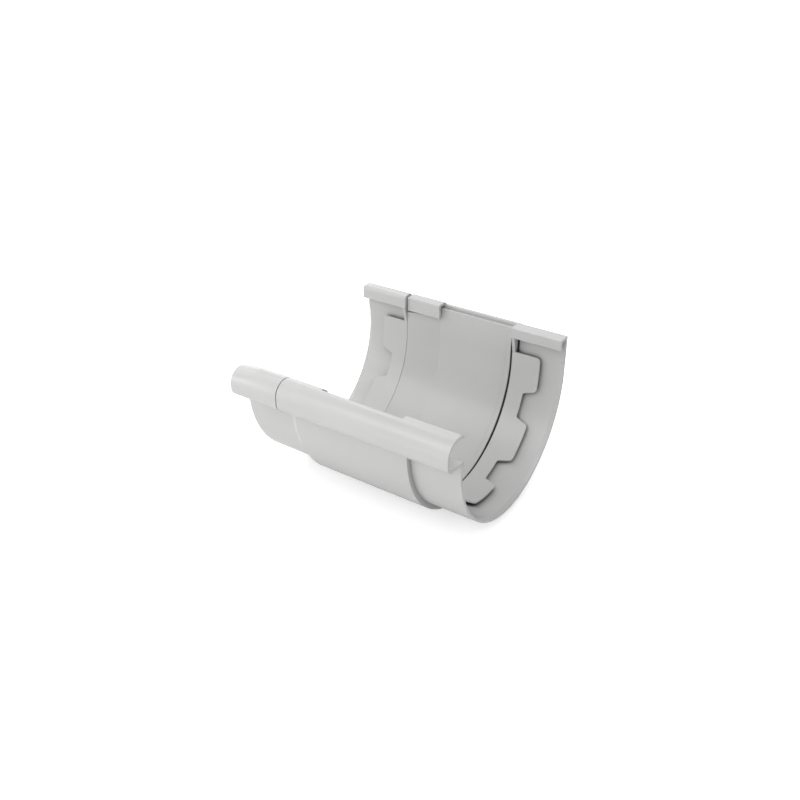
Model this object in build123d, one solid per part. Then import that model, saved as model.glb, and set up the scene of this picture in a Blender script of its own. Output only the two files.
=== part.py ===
from build123d import *
import math
import os

# Expansion union for a half-round gutter: a socket half, a sliding half that telescopes into it, and
# rubber seals. X runs along the gutter, +Y is the rear (fascia) side, +Z is up. The origin is the
# centre of the half-round section, midway between the two ends.

# Driving dimensions, in millimetres
union_length = 144.0        # end to end with the joint closed
end_radius = 62.0           # outside of the half-round end sections
wall = 2.2                  # half-round walls
edge_wall = 1.8             # front bead and rear lips
socket_depth = 31.0         # how far a gutter end slides in
web = 2.0                   # stop web at the bottom of each gutter slot
tab_wall = 1.0              # ring of tabs that holds the gutter from inside
gutter_slot = 2.2           # room for the gutter wall between the tabs and the outer wall
slide_gap = 0.9             # running gap between the tongue and the sleeve
seam_gap = 0.6              # closing gap left between the two halves
end_gap = 0.8               # gap left between the tongue's end and the stop web
shoulder = 0.4              # full section of the sliding half past its stop web

# Rear lips
lip_top = 24.8              # socket half, over the gutter socket
lip_width = 9.0             # from the wall's rear face to the lip's front face
lip_height = 6.6            # height of the front face
lip_corner = 0.4
sliding_lip_top = 26.2
sliding_lip_width = 8.4
sliding_lip_height = 8.4
sliding_lip_corner = 2.2    # rounder upper edges
guide_lip_top = 25.1        # short lip that guides the tongue
guide_lip_width = 9.2
guide_lip_height = 9.4
guide_lip_corner = 0.9
guide_lip_rear_corner = 3.2
lip_foot_corner = 0.3
guide_length = 24.2         # rear lip and front hook that guide the tongue
sleeve_top = 23.3
tongue_top = 21.4
web_lean = 2.6              # how much the web's rear edge leans forward to meet the lip

# Front bead
bead_reach = 4.8            # centre of the upper curve, in front of the half-round wall
bead_height = 14.1          # centre of the upper curve, above the section's centre
bead_radius = 8.7
bead_foot_radius = 5.0      # lower front curve
bead_upright = 4.1          # upright stretch between the two curves
shelf_slope = 0.15          # fall of the bead's floor towards the wall
bead_end_angle = 37.0       # where the round bead ends, above the gutter
open_edge_angle = 79.0      # where it ends over the open stretch of the sleeve
hook_flat = 4.0             # flat top of the socket half's outer hook
hook_radius = 3.0
hook_end_angle = 10.0
rail_gap = 0.6              # running gap between the sleeve's bead and the tongue's rail
rail_wall = 1.6
rail_end_angle = 50.0
bead_dip = 1.6              # how far the sliding half's bead drops at its mouth
bead_dip_length = 14.0

# Ring of tabs
skirt_length = 8.3          # unbroken band past the stop web
tab_length = 8.5
tab_top = 7.2               # upper edge of the first tab
tab_front_top = 4.0         # front end of the ring
notch_count = 4
notch_pitch = 46.4          # angle from notch to notch
first_notch = 26.6          # middle of the first notch, below the rear horizontal
notch_angle = 15.4          # angle that a notch takes at its foot
notch_flare = 2.8           # how much each side opens towards the tab tips
notch_corner = 1.5
tab_corner = 2.6

# Tongue's root and end, and seals
root_step = 0.25            # step from the stop web down to the tongue's thicker root
root_length = 24.0          # over which the root thins to the tongue's own wall
root_top = 14.5             # under the short lip that guides the tongue
rim_width = 3.5             # raised rim inside the tongue's end
rim_height = 0.5
seal_width = 1.8            # head of the expansion seal, past the tongue
seal_leg = 3.2              # leg of the expansion seal, on the tongue
seal_leg_wall = 1.2
seal_clearance = 0.3        # between the expansion seal and the sleeve
seal_rear_top = 14.5
seal_front_top = 5.0
seal_taper = 5.0            # height over which its ends narrow
gutter_seal_width = 1.1
gutter_seal_groove = 0.8
gutter_seal_proud = 0.5
gutter_seal_top = 17.5
mouth_lead = 2.5            # length of the lead-in inside each mouth
mouth_depth = 0.8
sleeve_edge = 0.5           # wall left at the sleeve's tapered mouth
sleeve_taper = 3.6          # length of that taper

# Radii of the nested walls
end_inner = end_radius - wall
tab_outer = end_inner - gutter_slot
tab_inner = tab_outer - tab_wall
sleeve_inner = end_radius + slide_gap
sleeve_outer = sleeve_inner + wall
seal_outer = sleeve_inner - seal_clearance
seal_seat = seal_outer - seal_leg_wall

# Stations along X; the gutter sockets of the two halves mirror each other
end_face = union_length / 2
stop_face = end_face - socket_depth
web_face = stop_face - web
tab_root = stop_face + skirt_length
tab_tip = tab_root + tab_length
shoulder_face = -web_face + shoulder
sleeve_mouth = shoulder_face + seam_gap
guide_end = sleeve_mouth + guide_length
tongue_end = web_face - end_gap
seal_start = tongue_end - seal_width

# Front bead's centres
bead_offset = end_radius + bead_reach
bead_centre = (-bead_offset, bead_height)
bead_foot = (bead_foot_radius - bead_radius - bead_offset, bead_height - bead_upright)
hook_centre = (hook_flat - bead_offset, bead_height + bead_radius - hook_radius)
rail_inset = edge_wall + rail_gap


def slab(y0, y1, z0, z1):
    """A rectangle of the section, given by its limits."""
    return Pos((y0 + y1) / 2, (z0 + z1) / 2) * Rectangle(y1 - y0, z1 - z0)


def along(profile, x0, x1):
    """A section carried along X from x0 to x1."""
    return extrude(Plane.YZ.offset(x0) * profile, x1 - x0)


def half_disc(radius):
    """The lower half of a disc."""
    return Circle(radius) & slab(-radius, radius, -radius, 0)


def trough(outer, inner, rear_top, front_top):
    """A half-round wall with its straight rear and front edges."""
    lower = half_disc(outer) - Circle(inner)
    return lower + slab(inner, outer, 0, rear_top) + slab(-outer, -inner, 0, front_top)


def floor_height(y, inset):
    """Height of the bead's floor at a depth, for an inset from the outside."""
    return bead_foot[1] - bead_foot_radius + inset - shelf_slope * (y - bead_foot[0])


def bead_line(inset, wall_face, end_angle, hooked, dip=0.0):
    """The bead's outline at an inset, from the trough wall round the foot and front to its top edge."""
    centre = (bead_centre[0], bead_centre[1] - dip)
    foot_radius = bead_foot_radius - inset
    front_radius = bead_radius - inset
    foot_start = (bead_foot[0], bead_foot[1] - foot_radius)
    floor = Line((wall_face, floor_height(wall_face, inset)), foot_start)
    foot = CenterArc(bead_foot, foot_radius, 270, -90)
    front = Line(foot @ 1, (centre[0] - front_radius, centre[1]))
    if not hooked:
        return [floor, foot, front, CenterArc(centre, front_radius, 180, end_angle - 180)]
    crown = CenterArc(centre, front_radius, 180, -90)
    top = Line(crown @ 1, (hook_centre[0], hook_centre[1] + hook_radius - inset))
    hook = CenterArc(hook_centre, hook_radius - inset, 90, end_angle - 90)
    return [floor, foot, front, crown, top, hook]


def bead(wall_face, end_angle, hooked=False, inset=0.0, thickness=edge_wall, dip=0.0):
    """The bead's wall, open towards the trough."""
    outside = bead_line(inset, wall_face, end_angle, hooked, dip)
    inside = bead_line(inset + thickness, wall_face, end_angle, hooked, dip)
    ends = [Line(outside[0] @ 0, inside[0] @ 0), Line(outside[-1] @ 1, inside[-1] @ 1)]
    return make_face(outside + inside + ends)


def bead_stop(end_angle, hooked):
    """Everything inside the bead's outline: the stop for the gutter's own bead."""
    outside = bead_line(0, -end_inner, end_angle, hooked)
    return make_face(outside + [Line(outside[-1] @ 1, outside[0] @ 0)])


def lip_block(rear, width, top, height, front_corner, rear_corner):
    """Everything inside a rear lip's outline: the stop for the gutter's rear rim."""
    block = slab(rear - width, rear, top - height, top)
    block = fillet(block.vertices().group_by(Axis.Y)[-1].sort_by(Axis.X)[0], front_corner)
    return fillet(block.vertices().group_by(Axis.Y)[-1].sort_by(Axis.X)[-1], rear_corner)


def rear_lip(block, wall_inner, rear_corner):
    """A lip that turns forward from the wall's rear edge and down."""
    box = block.bounding_box()
    hollow = slab(box.min.X + edge_wall, wall_inner, box.min.Y, box.max.Y - edge_wall)
    if rear_corner > edge_wall:
        corner = hollow.vertices().group_by(Axis.Y)[-1].sort_by(Axis.X)[-1]
        hollow = fillet(corner, rear_corner - edge_wall)
    lip = block - hollow
    return fillet(lip.vertices().group_by(Axis.X)[0].group_by(Axis.Y)[0], lip_foot_corner)


def lead_in():
    """The widening inside a mouth, which guides the gutter's end in."""
    def outline(radius):
        return half_disc(radius) + slab(0, radius, 0, tab_top)
    wide = Plane.YZ.offset(end_face) * outline(end_inner + mouth_depth)
    narrow = Plane.YZ.offset(end_face - mouth_lead) * outline(end_inner)
    return loft([narrow, wide])


def stop_web():
    """The web at the bottom of the gutter slot; its rear edge leans forward to meet the lip."""
    lean_foot = (tab_inner, tab_top)
    lean_head = (tab_inner - web_lean, lip_top - lip_height)
    rear = Polyline(lean_foot, lean_head, (end_inner, lean_head[1]), (end_inner, tab_top), close=True)
    profile = trough(end_inner, tab_inner, tab_top, tab_front_top) + make_face(rear)
    return along(profile, web_face, stop_face)


def notch_cutter(angle):
    """Cuts one notch between two tabs, with its foot corners rounded."""
    half_foot = tab_outer * math.tan(math.radians(notch_angle / 2))
    half_mouth = tab_outer * math.tan(math.radians(notch_angle / 2 + notch_flare))
    growth = (half_mouth - half_foot) / tab_length
    past = tab_length + 1.0
    points = [
        (0, -half_foot),
        (0, half_foot),
        (past, half_foot + growth * past),
        (past, -half_foot - growth * past),
    ]
    shape = make_face(Polyline(*points, close=True))
    shape = fillet(shape.vertices().group_by(Axis.X)[0], notch_corner)
    outward = (0, math.cos(angle), -math.sin(angle))
    depth = tab_wall * 4
    reach = tab_outer + gutter_slot * 0.2
    seat = Plane(origin=(tab_root, outward[1] * reach, outward[2] * reach), x_dir=(1, 0, 0), z_dir=outward)
    return extrude(seat * shape, -depth)


def tab_ring():
    """The castellated ring that holds the gutter against the outer wall."""
    ring = along(trough(tab_outer, tab_inner, tab_top, tab_front_top), web_face, tab_tip)
    for i in range(notch_count):
        ring -= notch_cutter(math.radians(first_notch + i * notch_pitch))
    at_tip = ring.edges().filter_by(lambda edge: edge.center().X > tab_tip - 0.01)
    return fillet([edge for edge in at_tip if edge.length < 1.5 * tab_wall], tab_corner)


def gutter_seal_outline(outer, inner):
    """The section of the groove or strip in the bottom of a gutter slot."""
    return trough(outer, inner, gutter_seal_top, tab_front_top)


def gutter_seal():
    """Rubber strip against the stop web, in a groove of the outer wall."""
    profile = gutter_seal_outline(end_inner + gutter_seal_groove, end_inner - gutter_seal_proud)
    return along(profile, stop_face, stop_face + gutter_seal_width)


def sleeve_lead():
    """Everything inside the sleeve's outer face, which tapers to a thin edge at the mouth."""
    def outline(radius):
        return half_disc(radius) + slab(-radius, radius, 0, sleeve_top)
    edge = Plane.YZ.offset(sleeve_mouth) * outline(sleeve_inner + sleeve_edge)
    full = Plane.YZ.offset(sleeve_mouth + sleeve_taper) * outline(sleeve_outer)
    return loft([edge, full]) + along(outline(sleeve_outer), sleeve_mouth + sleeve_taper, stop_face)


def gutter_socket(block, rear_corner, front, front_stop):
    """The right gutter socket: outer wall, bead, lip, stop web and ring of tabs."""
    lip = rear_lip(block, end_inner, rear_corner)
    rear_top = block.bounding_box().max.Y - edge_wall
    outer = trough(end_radius, end_inner, rear_top, floor_height(-end_inner, edge_wall))
    socket = along(outer + lip, web_face, end_face) + front
    socket -= lead_in()
    groove = gutter_seal_outline(end_inner + gutter_seal_groove, end_inner)
    socket -= along(groove, stop_face, stop_face + gutter_seal_width)
    return socket + stop_web() + tab_ring() + along(block + front_stop, web_face, stop_face)


def make_socket_half():
    """Right half: gutter socket and the wide sleeve for the tongue."""
    block = lip_block(end_radius, lip_width, lip_top, lip_height, lip_corner, lip_corner)
    end_bead = along(bead(-end_inner, hook_end_angle, hooked=True), web_face, end_face)
    half = gutter_socket(block, lip_corner, end_bead, bead_stop(hook_end_angle, True))

    sleeve = trough(sleeve_outer, sleeve_inner, sleeve_top, floor_height(-sleeve_inner, edge_wall))
    half += along(sleeve, sleeve_mouth, stop_face) & sleeve_lead()
    half += along(bead(-sleeve_inner, open_edge_angle), guide_end, web_face)
    step = trough(sleeve_outer, end_inner, sleeve_top, floor_height(-end_inner, edge_wall))
    half += along(step, web_face, stop_face)

    guide_block = lip_block(
        sleeve_outer, guide_lip_width, guide_lip_top, guide_lip_height,
        guide_lip_corner, guide_lip_rear_corner,
    )
    guide_lip = rear_lip(guide_block, sleeve_inner, guide_lip_rear_corner)
    half += along(guide_lip + bead(-sleeve_inner, bead_end_angle), sleeve_mouth, guide_end)
    return half


def dipping_bead():
    """The sliding half's front bead, which drops a little towards its mouth."""
    level = bead(-end_inner, bead_end_angle)
    dip_start = end_face - bead_dip_length
    start = Plane.YZ.offset(dip_start) * level
    mouth = Plane.YZ.offset(end_face) * bead(-end_inner, bead_end_angle, dip=bead_dip)
    return along(level, web_face, dip_start) + loft([start, mouth], ruled=True)


def tongue_root():
    """The tongue's thicker root, nearly flush with the stop web."""
    def outline(radius):
        return half_disc(radius) + slab(-radius, radius, 0, root_top)
    start = -web_face
    end = start + root_length
    thickest = tab_inner + root_step
    near = Plane.YZ.offset(start) * outline(thickest)
    far = Plane.YZ.offset(end) * outline(end_inner)
    ring = along(trough(end_inner + wall / 2, thickest, root_top, tab_front_top), start, end)
    return ring - loft([near, far])


def make_sliding_half():
    """Left half: gutter socket and the tongue, with its rail, raised rim and seat for the seal."""
    block = lip_block(
        end_radius, sliding_lip_width, sliding_lip_top, sliding_lip_height,
        sliding_lip_corner, sliding_lip_corner,
    )
    front_stop = bead_stop(bead_end_angle, False)
    half = gutter_socket(block, sliding_lip_corner, dipping_bead(), front_stop).mirror(Plane.YZ)
    outer = trough(end_radius, end_inner, sliding_lip_top - edge_wall, floor_height(-end_inner, edge_wall))
    half += along(outer + block + bead(-end_inner, bead_end_angle), -web_face, shoulder_face)

    rail = bead(-end_inner, rail_end_angle, inset=rail_inset, thickness=rail_wall)
    rail_floor = floor_height(-end_inner, rail_inset + rail_wall)
    tongue = trough(end_radius, end_inner, tongue_top, rail_floor)
    half += along(tongue + rail, shoulder_face, seal_start)
    half += tongue_root()
    rim = trough(end_inner, end_inner - rim_height, tongue_top, rail_floor)
    half += along(rim, seal_start - rim_width, seal_start)
    seat = trough(end_radius + slide_gap, seal_seat, seal_rear_top, seal_front_top)
    half -= along(seat, seal_start - seal_leg, seal_start)
    return half


def make_expansion_seal():
    """Rubber seal on the tongue's end, with a leg in its outer rebate and tapered ends."""
    head = trough(seal_outer, end_inner, seal_rear_top, seal_front_top)
    leg = trough(seal_outer, seal_seat, seal_rear_top, seal_front_top)
    seal = along(head, seal_start, tongue_end) + along(leg, seal_start - seal_leg, seal_start)
    for side, top in ((1, seal_rear_top), (-1, seal_front_top)):
        taper = Polyline(
            (tongue_end, top - seal_taper), (tongue_end, top), (seal_start, top), close=True)
        wedge = extrude(Plane.XZ * make_face(taper), -side * 2 * end_radius)
        seal -= wedge
    return seal


os.makedirs("parts", exist_ok=True)
nodes = {
    "socket_half": make_socket_half(),
    "sliding_half": make_sliding_half(),
    "expansion_seal": make_expansion_seal(),
    "gutter_seal_right": gutter_seal(),
    "gutter_seal_left": gutter_seal().mirror(Plane.YZ),
}
for name, shape in nodes.items():
    export_step(shape, f"parts/{name}.step")
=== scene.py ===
import math

import bpy
from mathutils import Matrix, Vector


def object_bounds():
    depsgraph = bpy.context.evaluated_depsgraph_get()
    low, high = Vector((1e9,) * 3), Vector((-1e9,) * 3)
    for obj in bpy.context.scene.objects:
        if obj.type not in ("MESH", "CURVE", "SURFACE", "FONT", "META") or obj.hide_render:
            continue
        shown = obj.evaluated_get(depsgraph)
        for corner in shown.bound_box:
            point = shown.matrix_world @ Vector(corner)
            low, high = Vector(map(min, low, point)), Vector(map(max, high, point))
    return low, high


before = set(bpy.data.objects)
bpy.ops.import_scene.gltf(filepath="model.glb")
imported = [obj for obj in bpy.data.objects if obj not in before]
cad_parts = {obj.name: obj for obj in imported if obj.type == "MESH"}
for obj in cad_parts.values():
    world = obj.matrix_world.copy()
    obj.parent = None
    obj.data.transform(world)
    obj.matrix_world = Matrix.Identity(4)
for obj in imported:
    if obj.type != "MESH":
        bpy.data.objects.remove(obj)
cad_low, cad_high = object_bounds()
scene = bpy.context.scene

# Colours, as linear values
PVC_GREY = (0.600, 0.600, 0.596, 1.0)
PVC_GREY_DEEP = (0.578, 0.578, 0.574, 1.0)
# Painted shade: the dark grey that narrow recesses are darkened towards in the base colour
PAINTED_SHADE_GREY = (0.120, 0.119, 0.116, 1.0)
RUBBER_BLACK = (0.018, 0.018, 0.019, 1.0)
RUBBER_BLOOM = (0.028, 0.028, 0.028, 1.0)
FLOOR_PALE = (0.86, 0.86, 0.86, 1.0)
WHITE = (1.0, 1.0, 1.0, 1.0)

# Patterns on the surfaces: scale, and how many finer layers each has
FLOW_PATTERN = (22.0, 3.0)
SKIN_PATTERN = (900.0, 2.0)
WAVE_PATTERN = (45.0, 1.0)
BLOOM_PATTERN = (300.0, 3.0)
GRAIN_PATTERN = (2500.0, 2.0)

# The values between which nearly all of a pattern lies
PATTERN_SPAN = (0.3, 0.7)

# Roughness, from the smoothest spots to the dullest
PVC_ROUGHNESS = (0.20, 0.26)
RUBBER_ROUGHNESS = (0.62, 0.76)

# Relief of the surfaces: strength, and height in metres
SKIN_RELIEF = (0.12, 0.00008)
WAVE_RELIEF = (0.25, 0.0006)
RUBBER_RELIEF = (0.2, 0.00005)

# Gloss of the moulded PVC
PVC_IOR = 1.5
PVC_GLOSS = 0.45

# Rounding of the mouldings' edges, in metres, and how finely it is worked out
EDGE_RADIUS = 0.0004
EDGE_SAMPLES = 6

# Painted shade in recesses: how far it reaches out of a recess, in metres, how finely the
# recesses are found, and how open a spot is where the painted shade is full and where there is
# none
RECESS_DEPTH = 0.0055
RECESS_SAMPLES = 8
PAINTED_SHADE_SPAN = (0.12, 0.70)

# The camera: turn and height round the object and its own tilt, in degrees, its distance and
# how far its aim is off the origin, in metres, and its focal length in pixels of the photograph
CAMERA_ANGLES = (34.113, 31.073, -0.598)
CAMERA_DISTANCE = 0.516476
CAMERA_AIM = (-0.005775, -0.010220)
FOCAL_PIXELS, IMAGE_PIXELS = 863.878, 800.0
SENSOR_WIDTH = 36.0
CAMERA_CLIP = (0.01, 20.0)

# The floor: its width, its gap under the object, its roughness, the distances from the object
# at which it starts to brighten and is pure white, and how much it is brightened there
FLOOR_WIDTH = 12.0
FLOOR_GAP = 0.0002
FLOOR_ROUGHNESS = 0.9
SHADOW_REACH = (0.10, 0.24)
FLOOR_LIFT = (0.5, 1.0)

# Light from the surroundings, and their brightness where the camera sees them
SKY_STRENGTH = 0.12
SEEN_STRENGTH = 1.0

# Studio lights, all at one distance from the object: name, angle round it, counted from its
# right end towards its back, angle above the floor, width in metres, power in watts
LAMP_DISTANCE = 1.2
LAMPS = (
    ("top", 0, 90, 0.7, 1.5),
    ("high_front", 300, 58, 0.7, 1.6),
    ("high_right", 0, 58, 0.7, 2.2),
    ("right", 0, 28, 0.7, 1.5),
    ("back", 113, 30, 0.7, 2.3),
    ("back_left", 146, 37, 0.7, 2.7),
    ("left", 180, 40, 0.7, 2.4),
    ("front_left", 245, 46, 0.75, 2.5),
    ("front", 272, 32, 0.7, 1.7),
    ("side_front", 220, 32, 0.7, 0.9),
    ("low_right", 0, 10, 0.5, 0.4),
    ("low_front", 270, 8, 0.5, 2.6),
    ("low_front_left", 222, 8, 0.5, 2.4),
    ("low_back_left", 138, 8, 0.5, 1.7),
)


def new_material(name):
    """A new material, with its nodes, its links and its shader."""
    material = bpy.data.materials.new(name)
    material.use_nodes = True
    nodes = material.node_tree.nodes
    return material, nodes, material.node_tree.links, nodes["Principled BSDF"]


def add_pattern(nodes, links, place, pattern):
    """A cloudy pattern in the object's own coordinates."""
    noise = nodes.new("ShaderNodeTexNoise")
    noise.inputs["Scale"].default_value, noise.inputs["Detail"].default_value = pattern
    links.new(place, noise.inputs["Vector"])
    return noise.outputs["Fac"]


def add_range(nodes, links, value, span, low=0.0, high=1.0):
    """A value that goes from low to high while another one crosses a span."""
    ramp = nodes.new("ShaderNodeMapRange")
    ramp.inputs["From Min"].default_value, ramp.inputs["From Max"].default_value = span
    ramp.inputs["To Min"].default_value = low
    ramp.inputs["To Max"].default_value = high
    links.new(value, ramp.inputs["Value"])
    return ramp.outputs["Result"]


def add_blend(nodes, links, amount, first):
    """A blend away from a first colour, whose second colour is still to be set or linked."""
    blend = nodes.new("ShaderNodeMix")
    blend.data_type = "RGBA"
    blend.inputs["A"].default_value = first
    links.new(amount, blend.inputs["Factor"])
    return blend


def add_relief(nodes, links, height, relief):
    """Fine relief on a surface."""
    bump = nodes.new("ShaderNodeBump")
    bump.inputs["Strength"].default_value, bump.inputs["Distance"].default_value = relief
    links.new(height, bump.inputs["Height"])
    return bump


def moulded_pvc():
    """Light-grey PVC with a satin moulded skin, softened edges and painted shade darkening its
    recesses.
    """
    material, nodes, links, shader = new_material("grey_pvc")
    place = nodes.new("ShaderNodeTexCoord").outputs["Object"]

    flow = add_pattern(nodes, links, place, FLOW_PATTERN)
    clean = add_blend(nodes, links, add_range(nodes, links, flow, PATTERN_SPAN), PVC_GREY_DEEP)
    clean.inputs["B"].default_value = PVC_GREY

    # Painted shade: the base colour darkens towards a dark grey in narrow recesses, by ambient
    # occlusion
    recess = nodes.new("ShaderNodeAmbientOcclusion")
    recess.samples = RECESS_SAMPLES
    recess.only_local = True
    recess.inputs["Distance"].default_value = RECESS_DEPTH
    openness = add_range(nodes, links, recess.outputs["AO"], PAINTED_SHADE_SPAN)
    painted_shade_colour = add_blend(nodes, links, openness, PAINTED_SHADE_GREY)
    links.new(clean.outputs["Result"], painted_shade_colour.inputs["B"])
    links.new(painted_shade_colour.outputs["Result"], shader.inputs["Base Color"])

    skin = add_pattern(nodes, links, place, SKIN_PATTERN)
    dullness = add_range(nodes, links, skin, PATTERN_SPAN, *PVC_ROUGHNESS)
    links.new(dullness, shader.inputs["Roughness"])

    soft_edge = nodes.new("ShaderNodeBevel")
    soft_edge.samples = EDGE_SAMPLES
    soft_edge.inputs["Radius"].default_value = EDGE_RADIUS
    fine = add_relief(nodes, links, skin, SKIN_RELIEF)
    links.new(soft_edge.outputs["Normal"], fine.inputs["Normal"])
    wave = add_pattern(nodes, links, place, WAVE_PATTERN)
    wavy = add_relief(nodes, links, wave, WAVE_RELIEF)
    links.new(fine.outputs["Normal"], wavy.inputs["Normal"])
    links.new(wavy.outputs["Normal"], shader.inputs["Normal"])

    shader.inputs["IOR"].default_value = PVC_IOR
    shader.inputs["Specular IOR Level"].default_value = PVC_GLOSS
    return material


def black_rubber():
    """Matt black seal rubber with a powdery bloom and a fine grain."""
    material, nodes, links, shader = new_material("black_rubber")
    place = nodes.new("ShaderNodeTexCoord").outputs["Object"]

    bloom = add_pattern(nodes, links, place, BLOOM_PATTERN)
    colour = add_blend(nodes, links, add_range(nodes, links, bloom, PATTERN_SPAN), RUBBER_BLACK)
    colour.inputs["B"].default_value = RUBBER_BLOOM
    links.new(colour.outputs["Result"], shader.inputs["Base Color"])

    grain = add_pattern(nodes, links, place, GRAIN_PATTERN)
    dullness = add_range(nodes, links, grain, PATTERN_SPAN, *RUBBER_ROUGHNESS)
    links.new(dullness, shader.inputs["Roughness"])
    grainy = add_relief(nodes, links, grain, RUBBER_RELIEF)
    links.new(grainy.outputs["Normal"], shader.inputs["Normal"])
    return material


def dress(node, material):
    """Gives a CAD node its finish."""
    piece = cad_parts[node]
    piece.data.materials.clear()
    piece.data.materials.append(material)


def photo_camera():
    """The camera at the photograph's place, from the angles and distance of its perspective."""
    turn, height, tilt = (math.radians(angle) for angle in CAMERA_ANGLES)
    back = Vector((
        math.sin(turn) * math.cos(height),
        -math.cos(turn) * math.cos(height),
        math.sin(height),
    ))
    right = Vector((math.cos(turn), math.sin(turn), 0.0))
    up = back.cross(right)
    place = right * CAMERA_AIM[0] + up * CAMERA_AIM[1] + back * CAMERA_DISTANCE
    tilted_right = right * math.cos(tilt) + up * math.sin(tilt)
    tilted_up = up * math.cos(tilt) - right * math.sin(tilt)

    data = bpy.data.cameras.new("photo_camera")
    data.sensor_width = SENSOR_WIDTH
    data.lens = FOCAL_PIXELS / IMAGE_PIXELS * data.sensor_width
    data.clip_start, data.clip_end = CAMERA_CLIP
    camera = bpy.data.objects.new("photo_camera", data)
    facing = Matrix((tilted_right, tilted_up, back)).transposed()
    camera.matrix_world = Matrix.Translation(place) @ facing.to_4x4()
    scene.collection.objects.link(camera)
    scene.camera = camera


def white_floor(height):
    """A pale floor that the camera sees as white, apart from the object's soft shadow."""
    bpy.ops.mesh.primitive_plane_add(size=FLOOR_WIDTH, location=(0, 0, height))
    floor = bpy.context.object
    floor.name = "floor"
    material, nodes, links, shader = new_material("white_floor")
    shader.inputs["Base Color"].default_value = FLOOR_PALE
    shader.inputs["Roughness"].default_value = FLOOR_ROUGHNESS
    shader.inputs["Specular IOR Level"].default_value = 0.0

    distance = nodes.new("ShaderNodeVectorMath")
    distance.operation = "LENGTH"
    links.new(nodes.new("ShaderNodeTexCoord").outputs["Object"], distance.inputs[0])
    fade = add_range(nodes, links, distance.outputs["Value"], SHADOW_REACH, *FLOOR_LIFT)
    fade.node.interpolation_type = "SMOOTHSTEP"
    seen = nodes.new("ShaderNodeLightPath")
    lift = nodes.new("ShaderNodeMath")
    lift.operation = "MULTIPLY"
    links.new(seen.outputs["Is Camera Ray"], lift.inputs[0])
    links.new(fade, lift.inputs[1])

    glow = nodes.new("ShaderNodeEmission")
    glow.inputs["Color"].default_value = WHITE
    links.new(lift.outputs["Value"], glow.inputs["Strength"])
    both = nodes.new("ShaderNodeAddShader")
    links.new(shader.outputs["BSDF"], both.inputs[0])
    links.new(glow.outputs["Emission"], both.inputs[1])
    links.new(both.outputs["Shader"], nodes["Material Output"].inputs["Surface"])
    floor.data.materials.append(material)


def soft_box(name, turn, height, size, power):
    """A square studio light, turned towards the object."""
    turn, height = math.radians(turn), math.radians(height)
    place = LAMP_DISTANCE * Vector((
        math.cos(height) * math.cos(turn),
        math.cos(height) * math.sin(turn),
        math.sin(height),
    ))
    light = bpy.data.lights.new(name, "AREA")
    light.shape = "SQUARE"
    light.size = size
    light.energy = power
    holder = bpy.data.objects.new(name, light)
    holder.location = place
    holder.rotation_mode = "QUATERNION"
    holder.rotation_quaternion = (-place).to_track_quat("-Z", "Y")
    scene.collection.objects.link(holder)


def studio():
    """White surroundings, with soft lights overhead and round the object."""
    world = bpy.data.worlds.new("studio")
    world.use_nodes = True
    nodes, links = world.node_tree.nodes, world.node_tree.links
    sky = nodes["Background"]
    sky.inputs["Color"].default_value = WHITE
    sky.inputs["Strength"].default_value = SKY_STRENGTH
    seen = nodes.new("ShaderNodeBackground")
    seen.inputs["Color"].default_value = WHITE
    seen.inputs["Strength"].default_value = SEEN_STRENGTH
    path = nodes.new("ShaderNodeLightPath")
    choose = nodes.new("ShaderNodeMixShader")
    links.new(path.outputs["Is Camera Ray"], choose.inputs["Fac"])
    links.new(sky.outputs["Background"], choose.inputs[1])
    links.new(seen.outputs["Background"], choose.inputs[2])
    links.new(choose.outputs["Shader"], nodes["World Output"].inputs["Surface"])
    scene.world = world
    for lamp in LAMPS:
        soft_box(*lamp)


grey = moulded_pvc()
rubber = black_rubber()
for half in ("socket_half", "sliding_half"):
    dress(half, grey)
for seal in ("expansion_seal", "gutter_seal_right", "gutter_seal_left"):
    dress(seal, rubber)

photo_camera()
white_floor(cad_low.z - FLOOR_GAP)
studio()
scene.view_settings.view_transform = "Standard"
